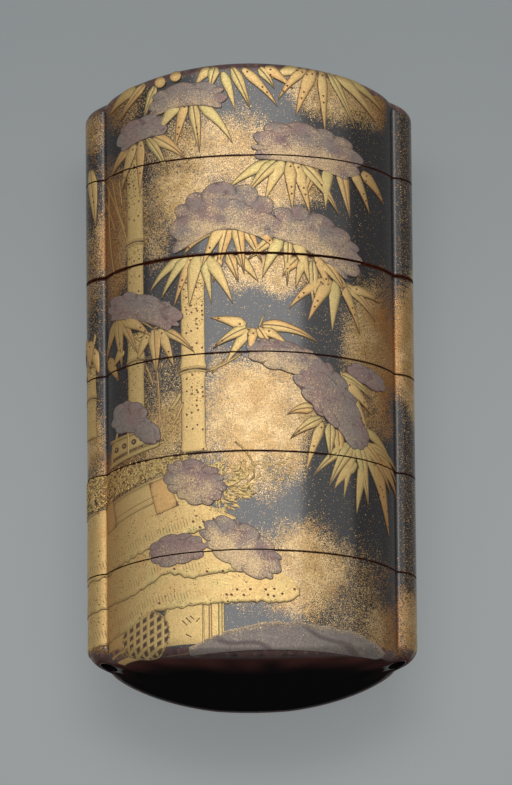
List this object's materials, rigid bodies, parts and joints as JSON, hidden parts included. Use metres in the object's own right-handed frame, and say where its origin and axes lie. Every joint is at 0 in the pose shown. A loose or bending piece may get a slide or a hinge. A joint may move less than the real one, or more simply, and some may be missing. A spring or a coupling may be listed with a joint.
{
  "type": "inro case",
  "caption": "Small stacked lacquer box with a lid, an oval body and a cord tube down each side, lying on its back.",
  "frame": {"origin": "centre of the footprint, on the surface that the flat on the back rests on", "axes": "+Y along the stack towards the lid, +Z out of the decorated front, +X to the right seen from the front"},
  "size_m": [0.046, 0.0912, 0.0226],
  "materials": {
    "gold_dusted_lacquer": "black lacquer under sprinkled gold dust, polished, worn red-brown along the edges",
    "gold_relief": "burnished gold lacquer relief: bamboo leaves, stems and thatch",
    "silver_snow": "tarnished silver lacquer relief, mauve grey, dusted with gold",
    "engraved_line": "thin dark brown drawn line"
  },
  "bodies": {
    "root": {"lid": "gold_dusted_lacquer", "case_1": "gold_dusted_lacquer", "case_2": "gold_dusted_lacquer", "case_3": "gold_dusted_lacquer", "case_4": "gold_dusted_lacquer", "case_5": "gold_dusted_lacquer"}
  },
  "joints": []
}
